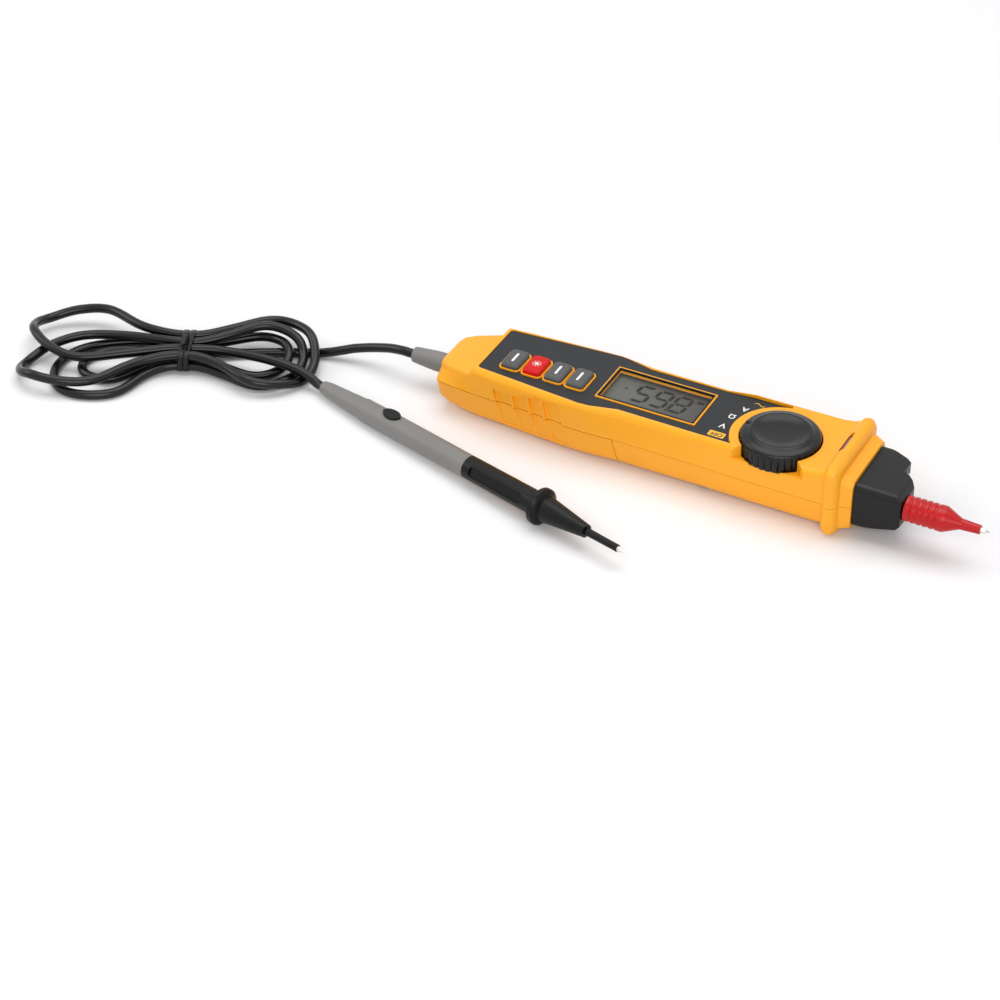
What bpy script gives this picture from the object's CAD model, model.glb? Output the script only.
# A slim orange pen multimeter with its tied test lead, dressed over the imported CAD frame.
# Sizes are written in millimetres and multiplied by mm, because the scene is in metres.
import math

import bmesh
import bpy
from mathutils import Matrix, Vector
from mathutils.bvhtree import BVHTree


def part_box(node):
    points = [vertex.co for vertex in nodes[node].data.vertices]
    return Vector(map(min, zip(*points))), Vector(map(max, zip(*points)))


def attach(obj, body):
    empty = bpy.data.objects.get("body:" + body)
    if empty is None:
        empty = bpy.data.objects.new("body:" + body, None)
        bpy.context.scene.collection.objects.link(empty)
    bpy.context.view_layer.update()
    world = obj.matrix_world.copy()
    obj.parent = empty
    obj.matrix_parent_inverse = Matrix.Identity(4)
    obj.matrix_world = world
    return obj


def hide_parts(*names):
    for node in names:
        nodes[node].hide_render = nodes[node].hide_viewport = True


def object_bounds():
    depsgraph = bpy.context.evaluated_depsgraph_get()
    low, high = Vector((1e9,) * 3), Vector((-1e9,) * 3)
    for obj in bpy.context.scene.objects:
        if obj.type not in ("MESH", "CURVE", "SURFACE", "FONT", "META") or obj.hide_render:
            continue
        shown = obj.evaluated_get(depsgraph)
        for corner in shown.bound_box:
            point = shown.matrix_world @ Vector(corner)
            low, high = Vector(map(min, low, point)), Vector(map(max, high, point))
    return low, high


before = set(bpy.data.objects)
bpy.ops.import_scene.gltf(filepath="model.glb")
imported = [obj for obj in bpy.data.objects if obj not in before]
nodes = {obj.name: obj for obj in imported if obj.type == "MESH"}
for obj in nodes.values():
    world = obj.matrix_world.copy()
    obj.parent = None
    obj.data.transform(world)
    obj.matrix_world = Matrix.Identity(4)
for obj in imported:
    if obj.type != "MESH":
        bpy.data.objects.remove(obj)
cad_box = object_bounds()
mm = 0.001


# Studio: a pale table, a world that is white to the camera, and three soft lamps. The camera
# stands where the photograph was taken from, in front of the meter and a little to its right.
class Signal:
    """A socket of a material, so that shader maths is written as sums."""

    def __init__(self, finish, socket):
        self.finish, self.socket = finish, socket

    def _math(self, operation, *values):
        return self.finish.node("ShaderNodeMath", {"operation": operation}, dict(enumerate(values)))

    def __add__(self, other):
        return self._math("ADD", self, other)

    def __radd__(self, other):
        return self._math("ADD", other, self)

    def __mul__(self, other):
        return self._math("MULTIPLY", self, other)

    def __rmul__(self, other):
        return self._math("MULTIPLY", other, self)

    def __truediv__(self, other):
        return self._math("DIVIDE", self, other)


class Finish:
    """A material that is built node by node, ending in one surface shader."""

    def __init__(self, name):
        self.material = bpy.data.materials.new(name)
        self.material.use_nodes = True
        self.tree = self.material.node_tree
        self.tree.nodes.clear()

    def node(self, kind, settings=None, inputs=None, output=0):
        """A new node with its settings and the values or links of its sockets."""
        made = self.tree.nodes.new(kind)
        for key, value in (settings or {}).items():
            setattr(made, key, value)
        for key, value in (inputs or {}).items():
            if isinstance(value, Signal):
                self.tree.links.new(value.socket, made.inputs[key])
            else:
                made.inputs[key].default_value = value
        return Signal(self, made.outputs[output]) if len(made.outputs) else None

    def place(self):
        return self.node("ShaderNodeTexCoord", output="Object")

    def noise(self, scale, detail):
        return self.node("ShaderNodeTexNoise", {"noise_dimensions": "3D"},
                         {"Vector": self.place(), "Scale": scale, "Detail": detail, "Roughness": 0.5})

    def blend(self, amount, one, two):
        """One colour turning into another; the Mix node has its colours on sockets 6, 7 and 2."""
        return self.node("ShaderNodeMix", {"data_type": "RGBA"}, {0: amount, 6: one, 7: two}, output=2)

    def relief(self, height, depth):
        return self.node("ShaderNodeBump", {}, {"Height": height, "Distance": depth, "Strength": 1.0})

    def surface(self, inputs):
        shader = self.node("ShaderNodeBsdfPrincipled", {}, inputs)
        self.node("ShaderNodeOutputMaterial", {}, {"Surface": shader})
        return self.material


def mesh_piece(name, points, faces, material=None, smooth=False):
    """An object at the origin, from points in metres."""
    mesh = bpy.data.meshes.new(name)
    mesh.from_pydata([tuple(p) for p in points], [], faces)
    mesh.update()
    if smooth:
        mesh.shade_smooth()
    if material:
        mesh.materials.append(material)
    piece = bpy.data.objects.new(name, mesh)
    bpy.context.scene.collection.objects.link(piece)
    return piece


camera = bpy.data.objects.new("camera", bpy.data.cameras.new("camera"))
bpy.context.scene.collection.objects.link(camera)
bpy.context.scene.camera = camera
camera.data.sensor_width = 36
camera.data.lens = 108
camera.data.clip_start, camera.data.clip_end = 0.05, 20
eye = Vector((325.7, -784.57, 626.7)) * mm
right = Vector((0.8862, 0.4633, 0.0)).normalized()
ahead = Vector((-0.3695, 0.7068, -0.6032)).normalized()
up = right.cross(ahead).normalized()
right = ahead.cross(up)
camera.matrix_world = Matrix(
    (
        (right.x, up.x, -ahead.x, eye.x),
        (right.y, up.y, -ahead.y, eye.y),
        (right.z, up.z, -ahead.z, eye.z),
        (0, 0, 0, 1),
    )
)

table = Finish("pale_table")
matt_white = table.node("ShaderNodeBsdfDiffuse", {}, {"Color": (0.88, 0.88, 0.89, 1)})
table.node("ShaderNodeOutputMaterial", {}, {"Surface": matt_white})
table_radius, table_sides = 1.35, 120
round_table = [2 * math.pi * i / table_sides for i in range(table_sides)]
table_edge = [(table_radius * math.cos(a), table_radius * math.sin(a), 0) for a in round_table]
floor = mesh_piece("table_top", table_edge, [tuple(range(table_sides))], table.material)

# The world lights the object at a plain level, and is full white to the camera and in gloss
world = bpy.data.worlds.new("studio")
bpy.context.scene.world = world
world.use_nodes = True
sky, daylight = world.node_tree, 0.45
sky.nodes["Background"].inputs["Color"].default_value = (1, 1, 1, 1)
seen, power = sky.nodes.new("ShaderNodeLightPath"), sky.nodes.new("ShaderNodeMath")
power.operation = "MULTIPLY_ADD"
rays = seen.outputs["Is Camera Ray"]
for kind in ("Is Glossy Ray", "Is Transmission Ray"):
    either = sky.nodes.new("ShaderNodeMath")
    either.operation = "MAXIMUM"
    sky.links.new(rays, either.inputs[0])
    sky.links.new(seen.outputs[kind], either.inputs[1])
    rays = either.outputs[0]
sky.links.new(rays, power.inputs[0])
power.inputs[1].default_value, power.inputs[2].default_value = 1 - daylight, daylight
sky.links.new(power.outputs[0], sky.nodes["Background"].inputs["Strength"])


def lamp(name, place, aim, size, watts):
    """A soft box, turned towards what it lights."""
    light = bpy.data.lights.new(name, "AREA")
    light.shape = "RECTANGLE"
    light.size, light.size_y = size
    light.energy = watts
    made = bpy.data.objects.new(name, light)
    bpy.context.scene.collection.objects.link(made)
    made.location = place
    made.rotation_euler = (Vector(aim) - Vector(place)).to_track_quat("-Z", "Y").to_euler()


lamp("overhead_lamp", (-0.1, 0.25, 1.3), (0, 0, 0), (1.4, 1.0), 11)
lamp("front_lamp", (0.5, -1.2, 0.8), (0, 0, 0), (1.0, 0.8), 9)
lamp("left_lamp", (-1.1, -0.3, 0.7), (-0.1, 0, 0), (0.6, 0.6), 3)
bpy.context.scene.view_settings.view_transform = "Standard"


# Test lead: one soft PVC lead, 3.5 mm thick and glossy black. It runs from the plug in the
# meter's tail into a hank of seven lobes, tied at its waist, and on to the hand-held probe.
lead_d = 3.5
strand = lead_d + 1
tie_x, tie_y, tie_turn, tie_half, tie_lift = -199.4, -28.7, math.radians(24), 5, 0.25
# A lobe's row: its reach, two half widths, turn, widest place, the two angles at which it leaves
# the tie, and five heights along it, counted in strands
left_lobes = [
    (34.5, 9.3, 9.1, -16.4, 0.644, -0.3, 13.1, 0.05, 0, 0, 0, 0),
    (45.1, 18.7, 13.5, -26, 0.559, 1.5, 31.4, 0, 0.05, 0.01, 0, 0.01),
    (56.5, 15.6, 14.4, -15.2, 0.56, 2.6, 17.1, 0.86, 0, 0.51, 1.21, 0.83),
    (55.1, 14.4, 16.5, 14.3, 0.568, -19.3, 8.9, 1.29, 0.55, 0.94, 1.6, 0.95),
]
right_lobes = [
    (33.3, 11.4, 10.1, -1.3, 0.6, -1.2, 2, 0, 0.17, 0.66, 0.97, 0.73),
    (38.5, 11.3, 16.2, -1.1, 0.567, -11, 5.1, 0.04, 0, 0.56, 1.58, 1.84),
    (43, 19, 17.6, -5.5, 0.524, -8.2, 21.8, 0.9, 0, 0.5, 1.9, 1.54),
]
upper_slots, lower_slots, slot_rows = (0.5, 1.5, 0.5, 1.5), (-0.5, -1.5, -1.5, -0.5), (0, 0, 1, 1)
to_hank = [
    (-119.53, 0, 11.3), (-123.03, 0, 11.3), (-123.5, 0, 11.3), (-129, 0.7, 10.4), (-134.5, 1.1, 8.8),
    (-140, 0.9, 7.2), (-145, 0.3, 5.6), (-149.8, -0.9, 4), (-154, -2.3, 2.7), (-158.5, -4, 1.95),
    (-163, -5.8, 1.75), (-168, -8.2, 1.75), (-174, -11.6, 1.75), (-181, -15.6, 1.75),
]
to_probe = [
    (-184.5, -24.8, 7.1), (-178.9, -23.8, 7.1), (-172.4, -22.9, 7.1), (-167.4, -22.4, 7), (-162.5, -22, 6.8),
    (-158, -21.9, 6.4), (-153.9, -22.1, 5.7), (-149.4, -22.6, 4.65),
]


def bezier(a, b, c, d, t):
    return (1 - t) ** 3 * a + 3 * (1 - t) ** 2 * t * b + 3 * (1 - t) * t * t * c + t**3 * d


def lobe_side(row, above, y):
    """Half of a lobe, from its slot in the tie to just before its tip, and that tip."""
    leave_pull, tip_pull = 0.42, 0.56
    reach, high, low, turn, sides, first, last = row[:7]
    turn = math.radians(turn)
    along, across = Vector((math.cos(turn), math.sin(turn))), Vector((-math.sin(turn), math.cos(turn)))
    width = high if above > 0 else low
    leave = math.radians(first if above > 0 else last)
    start, exit_at = Vector((tie_half, 0)), Vector((tie_half, y))
    side, tip = start + along * sides * reach + across * above * width, start + along * reach
    pull = (side - exit_at).length * leave_pull
    bend = exit_at + Vector((math.cos(leave), math.sin(leave))) * pull
    found = [exit_at, bezier(exit_at, bend, side - along * pull, side, 0.5), side]
    for t in (0.33, 0.67):
        ahead_of = side + along * tip_pull * (1 - sides) * reach
        found.append(bezier(side, ahead_of, tip + across * above * tip_pull * width, tip, t))
    return found, tip


def lobe(side, row, start, end, row_a, row_b):
    """A whole lobe, to the tie's left (-1) or right (1), from one slot of the tie to another."""
    one, tip = lobe_side(row, -side, start)
    two, _ = lobe_side(row, side, end)
    h, a, b = row[7:], row_a + tie_lift, row_b + tie_lift
    heights = [a, (a + h[0]) / 2, h[0], 0.6 * h[0] + 0.4 * h[1], 0.8 * h[1] + 0.2 * h[2], h[2],
               0.8 * h[3] + 0.2 * h[2], 0.6 * h[4] + 0.4 * h[3], h[4], (b + h[4]) / 2, b]
    plan = [*one, tip, *reversed(two)]
    return [(side * p.x, p.y, lead_d / 2 + z * strand) for p, z in zip(plan, heights)]


def in_tie(x, slot, row):
    """A strand's place in the tie, in the tie's own axes."""
    return (x, slot * strand, lead_d / 2 + (row + tie_lift) * strand)


def from_tie(point):
    """A point in the tie's own axes, moved to the meter's."""
    x, y, z = point
    return (tie_x + x * math.cos(tie_turn) - y * math.sin(tie_turn),
            tie_y + x * math.sin(tie_turn) + y * math.cos(tie_turn), z)


hank = []
for i, (slot_a, slot_b, row) in enumerate(zip(upper_slots, lower_slots, slot_rows)):
    hank.append(in_tie(0, slot_a, row))
    hank += lobe(-1, left_lobes[i], slot_a * strand, slot_b * strand, row, row)
    hank.append(in_tie(0, slot_b, row))
    if i < len(right_lobes):
        hank += lobe(1, right_lobes[i], slot_b * strand, upper_slots[i + 1] * strand, row, slot_rows[i + 1])
wand_l, wand_d, wand_guard_d = 147, 8.5, 13.5
boot_end, guard_at = 0.144, 0.739  # shares of the probe's length, measured from the lead
wand_tilt = math.asin((wand_guard_d - wand_d) / 2 / (wand_l * (guard_at - boot_end)))
wand_z = wand_d / 2 - wand_l * boot_end * math.sin(wand_tilt)
wand_turn = math.radians(-16.5)
wand_axis = Vector((math.cos(wand_turn) * math.cos(wand_tilt), math.sin(wand_turn) * math.cos(wand_tilt),
                    math.sin(wand_tilt)))
wand_start = Vector((-144, -24, wand_z))
route = (
    to_hank
    + [from_tie(in_tie(x, upper_slots[0], slot_rows[0])) for x in (2 * tie_half, tie_half)]
    + [from_tie(p) for p in hank]
    + [from_tie(in_tie(x, lower_slots[3], slot_rows[3])) for x in (tie_half, 2 * tie_half)]
    + to_probe
    + [tuple(wand_start - wand_axis * lead_d), tuple(wand_start - wand_axis * 0.03)]
)


def smooth_line(points, spacing):
    """Points along the smooth curve through the given ones, about that far apart."""
    found = []
    for i in range(len(points) - 1):
        a, b, c, d = (Vector(points[min(max(j, 0), len(points) - 1)]) for j in (i - 1, i, i + 1, i + 2))
        steps = max(2, round((c - b).length / spacing))
        for j in range(steps):
            t = j / steps
            found.append(0.5 * (2 * b + (c - a) * t + (2 * a - 5 * b + 4 * c - d) * t * t
                                + (3 * b - a - 3 * c + d) * t**3))
    return found + [Vector(points[-1])]


# The line's bends are softened level by level, so that no strand sinks into the one below it
edge_x, edge_y = (cad_box[0][k] / mm + lead_d / 2 for k in range(2))
point_gap, soft_rounds = 1.5, 8
line = smooth_line(route, point_gap)
for _ in range(soft_rounds):
    softer = [(a + 2 * b + c) / 4 for a, b, c in zip(line, line[1:], line[2:])]
    line = [line[0]] + [Vector((s.x, s.y, b.z)) for s, b in zip(softer, line[1:])] + [line[-1]]
line = [Vector((max(p.x, edge_x), max(p.y, edge_y), max(p.z, lead_d / 2))) for p in line]
lead_curve = bpy.data.curves.new("test_lead_cord", "CURVE")
lead_curve.dimensions = "3D"
lead_curve.bevel_depth = lead_d / 2 * mm
lead_curve.bevel_resolution = 5
lead_curve.use_fill_caps = True
spline = lead_curve.splines.new("POLY")
spline.points.add(len(line) - 1)
for point, place in zip(spline.points, line):
    point.co = (*(place * mm), 1)
spline.use_smooth = True
lead = bpy.data.objects.new("test_lead_cord", lead_curve)
bpy.context.scene.collection.objects.link(lead)


def shade(red, green, blue):
    """A colour given in the 0-255 steps that a screen shows, as linear light."""
    line = [((c / 255 + 0.055) / 1.055) ** 2.4 for c in (red, green, blue)]
    return (*line, 1.0)


pvc = Finish("glossy_black_pvc")
drag = pvc.noise(900, 3)
speck = pvc.noise(160, 4)
lead_curve.materials.append(pvc.surface({
    "Base Color": pvc.blend(speck, shade(7, 7, 8), shade(13, 13, 15)),
    "Roughness": 0.16 + speck * 0.14,
    "Normal": pvc.relief(drag, 0.02 * mm),
    "Coat Weight": 0.05,
    "Coat Roughness": 0.15,
    "Specular IOR Level": 0.3,
}))
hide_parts("lead_to_hank", "lead_hank", "lead_to_probe")
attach(lead, "test_lead")
lead_length = sum((b - a).length for a, b in zip(line, line[1:])) * mm


# Moulded casing: two orange halves, screwed together, and a battery cover, injection moulded in
# ABS with a fine matt grain. Each is the CAD solid with its coincident points merged and its
# sharp edges rounded a little.
def dressed(node, body, material, slot, edge=0.25, angle=32, segments=2):
    """A rounded, smooth-shaded copy of a CAD node, which then stands for it."""
    mesh = nodes[node].data.copy()
    made = bmesh.new()
    made.from_mesh(mesh)
    bmesh.ops.remove_doubles(made, verts=made.verts, dist=0.002 * mm)
    bmesh.ops.dissolve_limit(made, angle_limit=math.radians(0.3), verts=made.verts, edges=made.edges,
                             delimit=set())
    made.to_mesh(mesh)
    made.free()
    mesh.name = node + "_finish"
    mesh.materials.clear()
    mesh.materials.append(material)
    piece = bpy.data.objects.new(node + "_finish", mesh)
    bpy.context.scene.collection.objects.link(piece)
    mesh.set_sharp_from_angle(angle=math.radians(angle))
    for polygon in mesh.polygons:
        polygon.use_smooth = True
    if edge:
        bevel = piece.modifiers.new("rounded_edges", "BEVEL")
        bevel.width = edge * mm
        bevel.segments = segments
        bevel.limit_method = "ANGLE"
        bevel.angle_limit = math.radians(angle)
        bevel.harden_normals = True
        bevel.use_clamp_overlap = True
        normals = piece.modifiers.new("even_shading", "WEIGHTED_NORMAL")
        normals.keep_sharp = True
    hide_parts(node)
    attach(piece, body)
    return piece


def plastic(name, low, high, rough=0.42, grain=2600, depth=0.012, coat=0.0, shine=0.5):
    """A moulded plastic: a fine grain in its relief, with slow changes of shade and gloss."""
    made, patches = Finish(name), 55
    slow, fine = made.noise(patches, 3), made.noise(grain, 2)
    return made.surface({
        "Base Color": made.blend(slow, low, high),
        "Roughness": rough - 0.05 + 0.1 * made.noise(patches * 6, 4),
        "Normal": made.relief(fine, depth * mm),
        "Coat Weight": coat,
        "Coat Roughness": 0.2,
        "Specular IOR Level": shine,
    })


def faced_out(piece):
    """The same closed piece with all its faces pointing outwards."""
    made = bmesh.new()
    made.from_mesh(piece.data)
    bmesh.ops.recalc_face_normals(made, faces=made.faces)
    made.to_mesh(piece.data)
    made.free()
    return piece


def prism(name, base, rise):
    """A closed solid between an outline and its copy, moved by rise, in millimetres."""
    n = len(base)
    points = [Vector(p) * mm for p in base] + [(Vector(p) + Vector(rise)) * mm for p in base]
    sides = [(i, (i + 1) % n, n + (i + 1) % n, n + i) for i in range(n)]
    return faced_out(mesh_piece(name, points, [tuple(range(n - 1, -1, -1)), tuple(range(n, 2 * n)), *sides]))


def carve(piece, cutter, angle=32):
    """Takes the cutter's shape out of a piece's own mesh."""
    plain = bpy.data.objects.new("uncut", piece.data)
    bpy.context.scene.collection.objects.link(plain)
    cut = plain.modifiers.new("cut", "BOOLEAN")
    cut.object, cut.operation, cut.solver = cutter, "DIFFERENCE", "EXACT"
    bpy.context.view_layer.update()
    piece.data = bpy.data.meshes.new_from_object(
        plain.evaluated_get(bpy.context.evaluated_depsgraph_get()))
    piece.data.set_sharp_from_angle(angle=math.radians(angle))
    bpy.data.objects.remove(plain)
    bpy.data.objects.remove(cutter)


def sink_grips(piece):
    """Presses the four slanted grip panels into both sides, with narrow ribs between them."""
    made = bmesh.new()
    made.from_mesh(piece.data)
    lean, step, deep, low_z, high_z, middle_z = 0.194, 0.35, 0.5, 3.6, 20.4, 13
    edges, half_rib, near = [-78.4, -70.7, -63.8, -57.9, -50.6], 0.6, 0.01

    def outside(face_or_vert, place):
        """Whether a face or a corner is on the outer side wall, near the grips."""
        side = math.copysign(1, place.y)
        return (abs(place.y) > 10 * mm and face_or_vert.normal.y * side > 0.3
                and -84 * mm < place.x < -44 * mm and place.z < 22.5 * mm)

    def cut(point, normal):
        faces = [f for f in made.faces if outside(f, f.calc_center_median())]
        lines = list({e for f in faces for e in f.edges})
        bmesh.ops.bisect_plane(made, geom=faces + lines + list({v for f in faces for v in f.verts}),
                               plane_co=Vector(point) * mm, plane_no=normal, dist=0.0005 * mm)

    panels = [(a + half_rib, b - half_rib) for a, b in zip(edges, edges[1:])]
    for a, b in panels:
        for x in (a, a + step, b - step, b):
            cut((x, 0, middle_z), (1, 0, lean))
    for z in (low_z, low_z + step, high_z - step, high_z):
        cut((0, 0, z), (0, 0, 1))
    made.normal_update()
    for vert in made.verts:
        x, z = vert.co.x / mm + lean * (vert.co.z / mm - middle_z), vert.co.z / mm
        inside = any(a + step - near < x < b - step + near for a, b in panels)
        if inside and low_z + step - near < z < high_z - step + near and outside(vert, vert.co):
            vert.co.y -= math.copysign(deep * mm, vert.co.y)
    made.to_mesh(piece.data)
    made.free()
    piece.data.set_sharp_from_angle(angle=math.radians(32))


orange = plastic("orange_moulded_abs", shade(244, 163, 8), shade(251, 171, 14), 0.42)
knob_x, knob_y = 25.9, -3.9
opening_in, opening_out, opening_z, opening_h = 14.0, 19.5, 20.9, 9
post_x, post_around, probe_step = 1.46, 4.2, 4.8
for node, body in (("top_shell", "meter"), ("bottom_shell", "meter"), ("battery_cover", "cover")):
    casing = dressed(node, body, orange, "orange_plastic")
    if node != "bottom_shell":
        sink_grips(casing)
    if node == "top_shell":
        # The knob's near side stands free of the shoulder
        arc = [math.radians(a) for a in range(226, 317, 3)]
        opening = [(knob_x + radius * math.cos(a), knob_y + radius * math.sin(a), opening_z)
                   for radius, way in ((opening_in, arc), (opening_out, reversed(arc))) for a in way]
        carve(casing, prism("knob_opening", opening, (0, 0, opening_h)))
    if node == "bottom_shell":
        # The two front screw posts end flush with the rounded side of the case
        skin = BVHTree.FromPolygons([v.co for v in casing.data.vertices],
                                    [p.vertices for p in casing.data.polygons])
        for corner in casing.data.vertices:
            x, y, z = corner.co / mm
            if abs(x - post_x) < post_around and abs(y) > 8 and z < 9:
                side = math.copysign(1, y)
                found = [skin.ray_cast(Vector((post_x + step, 30 * side, z)) * mm, Vector((0, -side, 0)))[0]
                         for step in (-probe_step, probe_step)]
                if None not in found:
                    corner.co.y = side * min(abs(corner.co.y), sum(abs(p.y) for p in found) / 2)


# Label and its print: a satin black label, stuck into the top's recess. It is printed with plain
# marks for the knob's five stops and nothing else. It is read from the far side, so all print is
# turned by half a turn.
def flat_text(name, text, size, x, y, z, material, body):
    """Printed characters as a flat mesh, centred on the given place."""
    curve = bpy.data.curves.new(name, "FONT")
    curve.body, curve.size, curve.align_x, curve.align_y = text, size * mm, "CENTER", "CENTER"
    curve.offset = 0.02 * size * mm
    made = bpy.data.objects.new(name, curve)
    bpy.context.scene.collection.objects.link(made)
    bpy.context.view_layer.update()
    mesh = bpy.data.meshes.new_from_object(made)
    bpy.data.objects.remove(made)
    mesh.transform(Matrix.Translation((x * mm, y * mm, z * mm)) @ Matrix.Rotation(math.radians(180), 4, "Z"))
    mesh.materials.clear()
    mesh.materials.append(material)
    piece = bpy.data.objects.new(name, mesh)
    bpy.context.scene.collection.objects.link(piece)
    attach(piece, body)


def outline_piece(name, shapes, z, material, body, slot):
    """Flat printed shapes, each a list of corners in millimetres."""
    points, faces = [], []
    for shape in shapes:
        faces.append(tuple(range(len(points), len(points) + len(shape))))
        points += [(x * mm, y * mm, z * mm) for x, y in shape]
    piece = mesh_piece(name, points, faces, material)
    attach(piece, body)


def rounded_box(x, y, half_x, half_y, corner):
    """The outline of a rectangle with rounded corners, in millimetres."""
    found, steps = [], 5
    for quarter, (sx, sy) in enumerate(((1, 1), (-1, 1), (-1, -1), (1, -1))):
        for i in range(steps + 1):
            a = math.radians(90 * quarter + 90 * i / steps)
            found.append((x + sx * (half_x - corner) + corner * math.cos(a),
                          y + sy * (half_y - corner) + corner * math.sin(a)))
    return found


label_black = plastic("satin_black_label", shade(24, 26, 29), shade(33, 35, 38), 0.42, 3500, 0.006, shine=0.3)
dressed("panel_label", "meter", label_black, "label", 0.08)
white_ink = plastic("white_ink", shade(228, 228, 226), shade(240, 240, 238), 0.5, 5000, 0.003)
yellow_ink = plastic("yellow_ink", shade(238, 176, 40), shade(246, 188, 52), 0.5, 5000, 0.003)
print_z = 24.225


def round_knob(angle, radius):
    """A place round the knob, its angle in degrees from the side of the display."""
    a = math.radians(180 + angle)
    return knob_x + radius * math.cos(a), knob_y + radius * math.sin(a)


off_x, off_y = round_knob(19, 22.0)
outline_piece("off_box", [rounded_box(off_x, off_y, 3.0, 1.55, 0.35)], print_z, yellow_ink, "meter", "label")
flat_text("off_word", "OFF", 2.6, off_x, off_y, print_z + 0.02, label_black, "meter")
for name, text, angle, size in (("volt_mark", "V", 4, 3.8), ("ohm_mark", "Ω", -14, 3.4),
                                ("amp_mark", "A", -31, 3.4)):
    x, y = round_knob(angle, 21.0)
    flat_text(name, text, size, x, y, print_z, white_ink, "meter")
wave_x, wave_y = round_knob(-47, 21.2)
wave_steps, wave_line = 16, 0.36
top_edge = [(wave_x + 0.25 * i - 2, wave_y + 0.6 * math.sin(math.pi * i / 8) + wave_line / 2)
            for i in range(wave_steps + 1)]
low_edge = [(x, y - wave_line) for x, y in top_edge]
wave = [[top_edge[i], top_edge[i + 1], low_edge[i + 1], low_edge[i]] for i in range(wave_steps)]
outline_piece("wave_mark", wave, print_z, yellow_ink, "meter", "label")


# Display: a clear window, with a thin dark edge inside its orange rim, lies over a grey liquid
# crystal glass that shows plain digits. Their segments are dark bars just above the glass, with a
# row of small ticks along the near edge.
def bars(character, x, y, height):
    """The lit bars of one digit, seen from the far side: its top is towards -Y."""
    lit = {"8": "abcdefg", "6": "acdefg", "5": "acdfg"}[character]
    half_w, half_h, t, lean = height * 0.27, height * 0.5, height * 0.072, 0.12
    rows = {"a": (0, half_h, 0), "g": (0, 0, 0), "d": (0, -half_h, 0), "b": (half_w, half_h / 2, 1),
            "c": (half_w, -half_h / 2, 1), "e": (-half_w, -half_h / 2, 1), "f": (-half_w, half_h / 2, 1)}
    found = []
    for key in lit:
        cx, cy, standing = rows[key]
        reach = (half_h / 2 if standing else half_w) - t * 0.35
        shape = [(-reach, 0), (-reach + t, t), (reach - t, t), (reach, 0), (reach - t, -t), (-reach + t, -t)]
        if standing:
            shape = [(-b, a) for a, b in shape]
        shape = [(cx + a, cy + b) for a, b in shape]
        found.append([(x - (a + lean * b), y - b) for a, b in shape])
    return found


clear = Finish("clear_window")
haze = clear.noise(260, 4)
clear_window = clear.surface({
    "Base Color": clear.blend(haze, shade(205, 210, 208), shade(226, 230, 228)),
    "Roughness": 0.05 + haze * 0.06,
    "Alpha": 0.03,
    "Coat Weight": 0.1,
})
dressed("display_window", "meter", clear_window, "window", 0.15)
mask_black = plastic("black_mask", shade(14, 14, 15), shade(20, 20, 21), 0.5, 3000, 0.004, shine=0.2)
lcd_x, half_lcd_l, half_lcd_w, lcd_print_z = -22.9, 18, 9, 21.55
mask_rings = [[(x, y, z) for x, y in rounded_box(lcd_x, 0, half_lcd_l + out, half_lcd_w + out, 0.3)]
              for out, z in ((0.6, 24.53), (-0.05, 24.53), (-0.05, 23.82), (0.6, 24.4))]
count = len(mask_rings[0])
mask_faces = [(r * count + i, (r + 1) % 4 * count + i, (r + 1) % 4 * count + (i + 1) % count,
               r * count + (i + 1) % count) for r in range(4) for i in range(count)]
mask_points = [Vector(p) * mm for ring in mask_rings for p in ring]
mask = faced_out(mesh_piece("display_mask", mask_points, mask_faces, mask_black))
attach(mask, "meter")
crystal = Finish("liquid_crystal")
across = crystal.node("ShaderNodeSeparateXYZ", {}, {"Vector": crystal.place()})
mottle = crystal.noise(90, 3)
lcd_end, lcd_reach = 42, 0.026  # the glass darkens from x = -42 mm on, by 2.6% for each millimetre
lit_grey = crystal.blend(mottle, shade(96, 96, 92), shade(104, 104, 99))
lcd_grey = crystal.surface({
    "Base Color": crystal.blend((across / mm + lcd_end) * lcd_reach, lit_grey, shade(66, 62, 59)),
    "Roughness": 0.3 + mottle * 0.1,
    "Specular IOR Level": 0.15,
})
dressed("lcd_glass", "meter", lcd_grey, "lcd", 0)
segment_ink = plastic("dark_segments", shade(8, 8, 9), shade(14, 14, 15), 0.5, 4000, 0.002, shine=0.05)
digit_h, digit_y = 9.4, 2.2
digits = [bar for character, x in (("8", -14.6), ("6", -21.8), ("5", -29.0))
          for bar in bars(character, x, digit_y, digit_h)]
digits.append(rounded_box(-18.1, -2.8, 0.5, 0.5, 0.2))  # a dot level with the digits' tops
outline_piece("display_digits", digits, lcd_print_z, segment_ink, "meter", "lcd")


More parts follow.
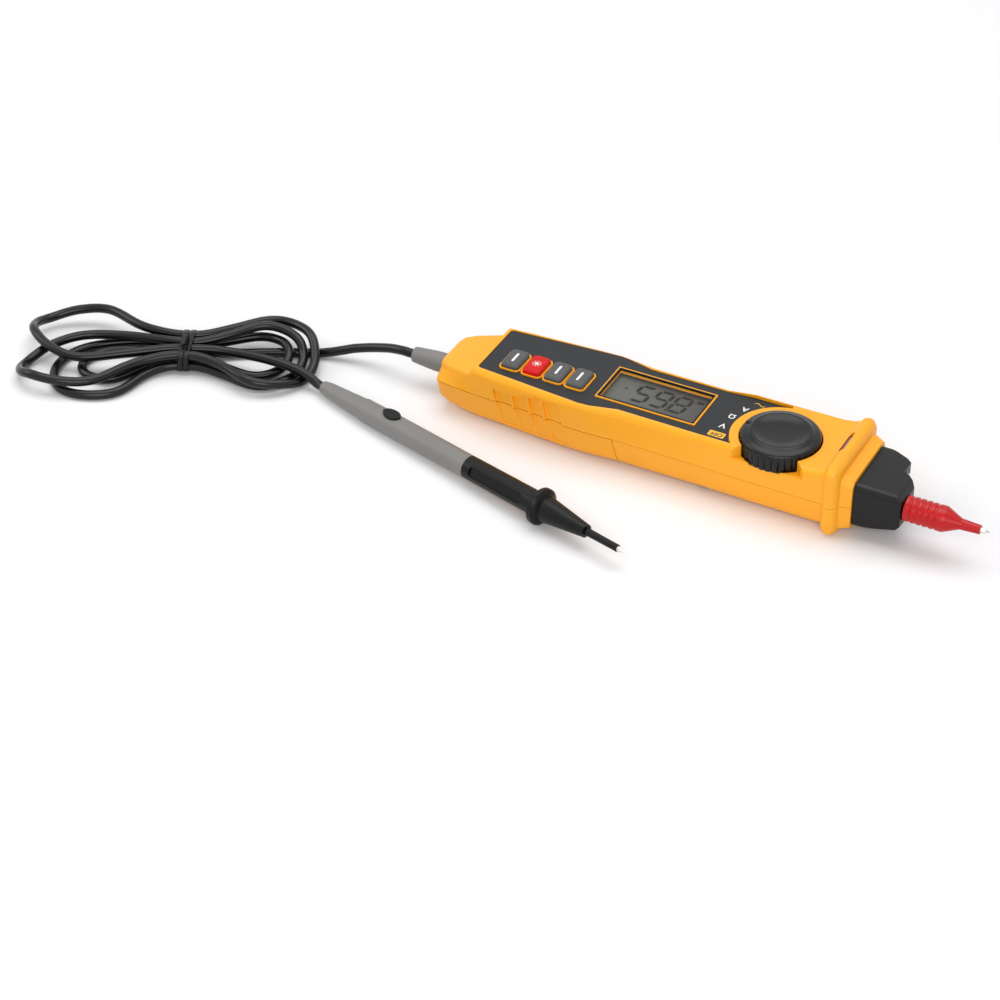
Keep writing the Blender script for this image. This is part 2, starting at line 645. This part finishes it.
def marks(name, count, reach, length, width, ring, place, material, body, slot):
    """A ring or a row of flat bars. Geometry Nodes lay them out; the result is kept as a mesh."""
    group = bpy.data.node_groups.new(name + "_layout", "GeometryNodeTree")
    for title, kind in (("Count", "NodeSocketInt"), ("Reach", "NodeSocketFloat"),
                        ("Length", "NodeSocketFloat"), ("Width", "NodeSocketFloat")):
        group.interface.new_socket(title, in_out="INPUT", socket_type=kind)
    group.interface.new_socket("Geometry", in_out="OUTPUT", socket_type="NodeSocketGeometry")
    given, result = group.nodes.new("NodeGroupInput"), group.nodes.new("NodeGroupOutput")

    def add(kind, inputs, **settings):
        """A node of the layout, its inputs given as values or as another node's outputs."""
        node = group.nodes.new(kind)
        for key, value in settings.items():
            setattr(node, key, value)
        for key, value in inputs.items():
            if hasattr(value, "is_output"):
                group.links.new(value, node.inputs[key])
            else:
                node.inputs[key].default_value = value
        return node

    place_node = add("GeometryNodeInputPosition", {})
    if ring:
        points = add("GeometryNodeMeshCircle", {"Vertices": given.outputs["Count"],
                                                "Radius": given.outputs["Reach"]})
        turn = add("FunctionNodeAlignRotationToVector", {"Vector": place_node.outputs[0]}, axis="X")
    else:
        step = add("ShaderNodeCombineXYZ", {"X": given.outputs["Reach"]})
        points = add("GeometryNodeMeshLine", {"Count": given.outputs["Count"], "Offset": step.outputs[0]})
        turn = add("FunctionNodeAlignRotationToVector", {"Vector": (1, 0, 0)}, axis="X")
    bar = add("GeometryNodeMeshGrid", {"Size X": given.outputs["Length"], "Size Y": given.outputs["Width"],
                                       "Vertices X": 2, "Vertices Y": 2})
    many = add("GeometryNodeInstanceOnPoints", {"Points": points.outputs[0], "Instance": bar.outputs[0],
                                                "Rotation": turn.outputs[0]})
    real = add("GeometryNodeRealizeInstances", {"Geometry": many.outputs[0]})
    inked = add("GeometryNodeSetMaterial", {"Geometry": real.outputs[0], "Material": material})
    group.links.new(inked.outputs[0], result.inputs[0])
    piece = mesh_piece(name, [], [])
    layout = piece.modifiers.new("layout", "NODES")
    layout.node_group = group
    for title, value in (("Count", count), ("Reach", reach * mm), ("Length", length * mm),
                         ("Width", width * mm)):
        layout[group.interface.items_tree[title].identifier] = value
    bpy.context.view_layer.update()
    mesh = bpy.data.meshes.new_from_object(piece.evaluated_get(bpy.context.evaluated_depsgraph_get()))
    piece.modifiers.remove(layout)
    mesh.transform(Matrix.Translation(Vector(place) * mm))
    piece.data = mesh
    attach(piece, body)


marks("display_scale", 24, 1.15, 0.55, 0.9, False, (-36.5, -5.2, lcd_print_z), segment_ink, "meter", "lcd")
flat_text("display_unit", "V", 2.4, -35.8, 3.0, lcd_print_z, segment_ink, "meter")
cell_sign = rounded_box(-8.6, 6.4, 1.4, 0.7, 0.2)
outline_piece("display_cell", [cell_sign], lcd_print_z, segment_ink, "meter", "lcd")


# Keys: three grey rubber keys and a red one stand in thin orange rims, each over its own dome
# switch. The red one has a plain sun printed on its top, the others a plain bar.
grey_rubber = plastic("grey_key_rubber", shade(76, 77, 78), shade(88, 89, 90), 0.48, 1800, 0.012, shine=0.3)
red_rubber = plastic("red_key_rubber", shade(200, 10, 14), shade(212, 16, 18), 0.42, 1800, 0.01, shine=0.25)
for node, body, rubber, slot in (("key_select", "select_key", grey_rubber, "grey_key"),
                                 ("key_light", "light_key", red_rubber, "red_key"),
                                 ("key_range", "range_key", grey_rubber, "grey_key"),
                                 ("key_hold", "hold_key", grey_rubber, "grey_key")):
    dressed(node, body, rubber, slot, 0.5, segments=3)
    low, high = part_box(node)
    x, y, z = (low[0] + high[0]) / 2 / mm, (low[1] + high[1]) / 2 / mm, high[2] / mm + 0.02
    if node == "key_light":
        marks("sun_rays", 8, 1.35, 0.75, 0.3, True, (x, y, z), white_ink, body, slot)
        sun_r, sun_sides = 0.7, 20
        round_sun = [i / (sun_sides / 2) * math.pi for i in range(sun_sides)]
        disc = [(x + sun_r * math.cos(a), y + sun_r * math.sin(a)) for a in round_sun]
        outline_piece("sun_disc", [disc], z, white_ink, body, slot)
    else:
        outline_piece(node + "_bar", [rounded_box(x, y, 0.45, 2.6, 0.3)], z, white_ink, body, slot)


# Selector knob and indicator: a moulded black knob with a dished disc and a smooth rim over 36
# shallow flutes, made from rows of radius, height and share of the flutes' depth. The dark red
# slot before the guard is the window of the indicator lamp.
knob_black = plastic("gloss_black_knob", shade(10, 11, 12), shade(17, 18, 19), 0.28, 2200, 0.01, shine=0.3)
knob_rows = [(0, 27.2, 0), (5.4, 27.3, 0), (8.6, 27.7, 0), (9.5, 28.2, 0), (10.1, 28.35, 0),
             (10.8, 28.15, 0), (11.4, 27.7, 0), (12.0, 27.45, 0), (13.0, 27.25, 0), (13.6, 26.9, 0),
             (13.95, 26.4, 0.1), (14.1, 25.8, 0.55), (14.1, 25.0, 0.95), (14.1, 23.0, 1), (14.1, 20.3, 1)]
flutes, flute_depth, turns = 36, 0.5, 288
pointer_depth, pointer_in, pointer_out, half_pointer = 0.7, 11.5, 14, 3.5
knob_points = [(knob_x * mm, knob_y * mm, knob_rows[0][1] * mm)]
for radius, z, depth in knob_rows[1:]:
    for i in range(turns):
        a = 2 * math.pi * i / turns
        hollow = max(0.0, math.cos(flutes * a)) ** 2 * flute_depth * depth
        pointed = pointer_in < radius < pointer_out and abs(i - turns / 2) < half_pointer
        pointer = pointer_depth if pointed else 0.0
        reach = radius - hollow
        knob_points.append(((knob_x + reach * math.cos(a)) * mm, (knob_y + reach * math.sin(a)) * mm,
                            (z - pointer) * mm))
knob_faces = [(0, 1 + i, 1 + (i + 1) % turns) for i in range(turns)]
for row in range(len(knob_rows) - 2):
    a, b = 1 + row * turns, 1 + (row + 1) * turns
    knob_faces += [(a + i, b + i, b + (i + 1) % turns, a + (i + 1) % turns) for i in range(turns)]
knob_faces.append(tuple(range(len(knob_points) - 1, len(knob_points) - 1 - turns, -1)))
knob = mesh_piece("fluted_knob", knob_points, knob_faces, knob_black, True)
knob.data.set_sharp_from_angle(angle=math.radians(50))
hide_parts("selector_knob")
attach(knob, "selector")
red_lens = plastic("dark_red_lens", shade(96, 18, 16), shade(122, 26, 20), 0.2, 3000, 0.003, 0.6)
dressed("indicator_lens", "meter", red_lens, "red_lens", 0.15)


# Nose and red probe: a black nose cap holds the grey torch bezel with its clear lamp. The red
# probe with its ribs is moulded round a nickel-plated pin, which plugs into a socket in the case.
nose_black = plastic("black_nose_abs", shade(11, 11, 12), shade(18, 18, 19), 0.34, 2400, 0.014, 0.05,
                     shine=0.25)
dressed("nose_cap", "meter", nose_black, "black_plastic", 0.4, segments=3)
pale_grey = plastic("pale_grey_bezel", shade(172, 174, 178), shade(186, 188, 192), 0.4)
dressed("torch_bezel", "meter", pale_grey, "bezel", 0.15)
lamp_clear = plastic("clear_lamp", shade(224, 226, 220), shade(240, 241, 236), 0.12, 1500, 0.004, 0.8)
dressed("torch_led", "meter", lamp_clear, "clear_led", 0)
gloss_red = plastic("gloss_red_abs", shade(178, 6, 12), shade(192, 10, 16), 0.26, 2200, 0.008, 0.05,
                    shine=0.3)
dressed("red_probe_body", "red_probe", gloss_red, "red_plastic", 0.12, 40)


def metal(name, low, high, rough):
    """Plated metal with a faint fine grain and slow changes of shade."""
    made = Finish(name)
    slow, fine = made.noise(140, 3), made.noise(900, 3)
    return made.surface({
        "Base Color": made.blend(slow, low, high),
        "Metallic": 1.0,
        "Roughness": rough + 0.1 * fine,
        "Normal": made.relief(fine, 0.004 * mm),
    })


nickel = metal("nickel_plate", shade(214, 212, 206), shade(228, 226, 220), 0.18)
dressed("red_probe_pin", "red_probe", nickel, "tip_metal", 0, 50)


# Plug, hand-held probe and tie: the plug's and the probe's boots and the probe's handle are mid
# grey, its grip, guard, cone and sleeve black, all moulded. A plastic-covered wire, two loops with
# two twisted ends, holds the hank at its waist.
mid_grey = plastic("mid_grey_abs", shade(112, 110, 107), shade(124, 122, 119), 0.46, 2000, 0.014)
grip_black = plastic("black_grip_abs", shade(6, 7, 8), shade(12, 13, 14), 0.34, 1700, 0.016, shine=0.2)
for node, material, slot, edge in (
    ("com_plug_body", mid_grey, "grey_plastic", 0.25), ("com_plug_pin", nickel, "tip_metal", 0),
    ("wand_boot", mid_grey, "grey_plastic", 0.2), ("wand_handle", mid_grey, "grey_plastic", 0.2),
    ("wand_lock_stud", grip_black, "grip_plastic", 0.2), ("wand_grip", grip_black, "grip_plastic", 0.25),
    ("wand_sleeve", grip_black, "grip_plastic", 0.1), ("wand_pin", nickel, "tip_metal", 0),
):
    piece = dressed(node, "test_lead", material, slot, edge, 40)
    if node == "wand_grip":
        # A long shallow panel on the side of the grip that faces the front
        panel_at, panel_depth = 0.612, 0.75
        level = Vector((0, 0, 1)).cross(wand_axis).normalized()
        out = (wand_axis.cross(level) * 0.45 - level * 0.89).normalized()
        over = wand_axis.cross(out)
        middle = wand_start + wand_axis * wand_l * panel_at + out * (wand_d / 2 - panel_depth)
        edge_line = [middle + wand_axis * a + over * b for a, b in rounded_box(0, 0, 12.5, 1.9, 1.2)]
        carve(piece, prism("grip_panel", edge_line, out * 4), 40)
tie_black = plastic("tie_gloss_black", shade(11, 11, 12), shade(18, 18, 19), 0.34, 1500, 0.01, 0.05,
                    shine=0.25)


def strip(name, path, width_axis, half_width, thickness, material, closed=False):
    """A flat band along a path, its width along one fixed direction."""
    section = ((-1, 0), (-1, 1), (-0.5, 1.35), (0.5, 1.35), (1, 1), (1, 0))
    points, faces, n = [], [], len(section)
    for i, point in enumerate(path):
        if closed:
            ahead_of = (path[(i + 1) % len(path)] - path[i - 1]).normalized()
        else:
            ahead_of = (path[min(i + 1, len(path) - 1)] - path[max(i - 1, 0)]).normalized()
        out = ahead_of.cross(width_axis).normalized()
        for a, b in section:
            points.append((point + width_axis * a * half_width + out * b * thickness) * mm)
        if i:
            k = n * i
            faces += [(k - n + j, k + j, k + (j + 1) % n, k - n + (j + 1) % n) for j in range(n)]
    k = len(points) - n
    if closed:
        faces += [(k + j, j, (j + 1) % n, k + (j + 1) % n) for j in range(n)]
    else:
        faces += [tuple(range(n - 1, -1, -1)), tuple(range(k, k + n))]
    return faced_out(mesh_piece(name, points, faces, material, True))


tie_along = Vector((math.cos(tie_turn), math.sin(tie_turn), 0))
tie_across = Vector((-math.sin(tie_turn), math.cos(tie_turn), 0))
tie_low, tie_high, tie_wide, loop_steps = 1.05, 9.2, 8.6, 64
for number, shift in enumerate((-1.3, 1.2)):
    loop = []
    for i in range(loop_steps):
        a = math.radians(-90 + 360 * i / loop_steps)
        x = max(-1, min(1, 1.32 * math.cos(a))) * tie_wide
        z = max(-1, min(1, 1.12 * math.sin(a))) * (tie_high - tie_low) / 2 + (tie_high + tie_low) / 2
        slip = shift + 0.5 * math.sin(a + number)
        loop.append(Vector((tie_x, tie_y, 0)) + tie_across * x + tie_along * slip + Vector((0, 0, z)))
    band = strip(f"tie_band_{number}", loop, tie_along, 1.0, 0.35, tie_black, True)
    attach(band, "test_lead")
    if not number:
        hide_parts("hank_tie")
twist_steps, twist_z, twist_r, twist_opens = 48, 10.05, 0.75, 40
for number in range(2):
    twist = []
    for i in range(twist_steps + 1):
        a = math.pi * (number + i / 8)
        spread = twist_r if i < twist_opens else twist_r + (i - twist_opens) * 0.12
        foot = Vector((tie_x, tie_y, twist_z + i * 0.02)) + tie_across * (1.5 - 7.5 * i / twist_steps)
        twist.append(foot + tie_along * spread * math.cos(a) + Vector((0, 0, 0.55 * math.sin(a))))
    end = strip(f"tie_end_{number}", twist, tie_along, 0.55, 0.3, tie_black)
    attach(end, "test_lead")
tuple(line[0] * mm)


# Inner parts, seen only when the cover or the case is off: a green board with what is fixed to
# it, two cells between sprung steel contacts, brass sockets and clips, a glass fuse and two wires.
brass = metal("bare_brass", shade(196, 164, 92), shade(214, 182, 112), 0.3)
steel = metal("zinc_steel", shade(176, 178, 182), shade(198, 200, 203), 0.32)
inner = {
    steel: ["cover_screw", "shell_screws", "board_screws", "dome_switches", "battery_springs",
            "battery_contacts", "detent_spring"],
    brass: ["fuse_clips", "wiper_contacts", "sensing_plate", "probe_socket", "com_socket"],
    nose_black: ["lcd_frame", "meter_chip", "buzzer"],
    plastic("pink_silicone", shade(214, 168, 172), shade(226, 182, 186), 0.6): ["zebra_strips"],
    plastic("milky_white", shade(226, 226, 221), shade(238, 238, 233), 0.4): [
        "backlight_plate", "selector_rotor"],
    plastic("green_board", shade(24, 96, 56), shade(34, 112, 66), 0.35, 1200, 0.01, 0.3): ["main_board"],
    plastic("fuse_tube", shade(196, 204, 206), shade(214, 220, 222), 0.1, 1500, 0.004, 0.5): ["fuse"],
    plastic("red_lamp", shade(196, 30, 28), shade(214, 40, 36), 0.2): ["indicator_led"],
    plastic("cell_sleeve", shade(34, 58, 72), shade(44, 70, 86), 0.3, 1500, 0.006, 0.3): ["battery_cells"],
    plastic("black_wire_pvc", shade(26, 26, 28), shade(36, 36, 38), 0.35): ["com_wire"],
    plastic("red_wire_pvc", shade(178, 22, 26), shade(192, 30, 32), 0.35): ["probe_wire"],
}
for material, names in inner.items():
    for name in names:
        nodes[name].data.materials.clear()
        nodes[name].data.materials.append(material)
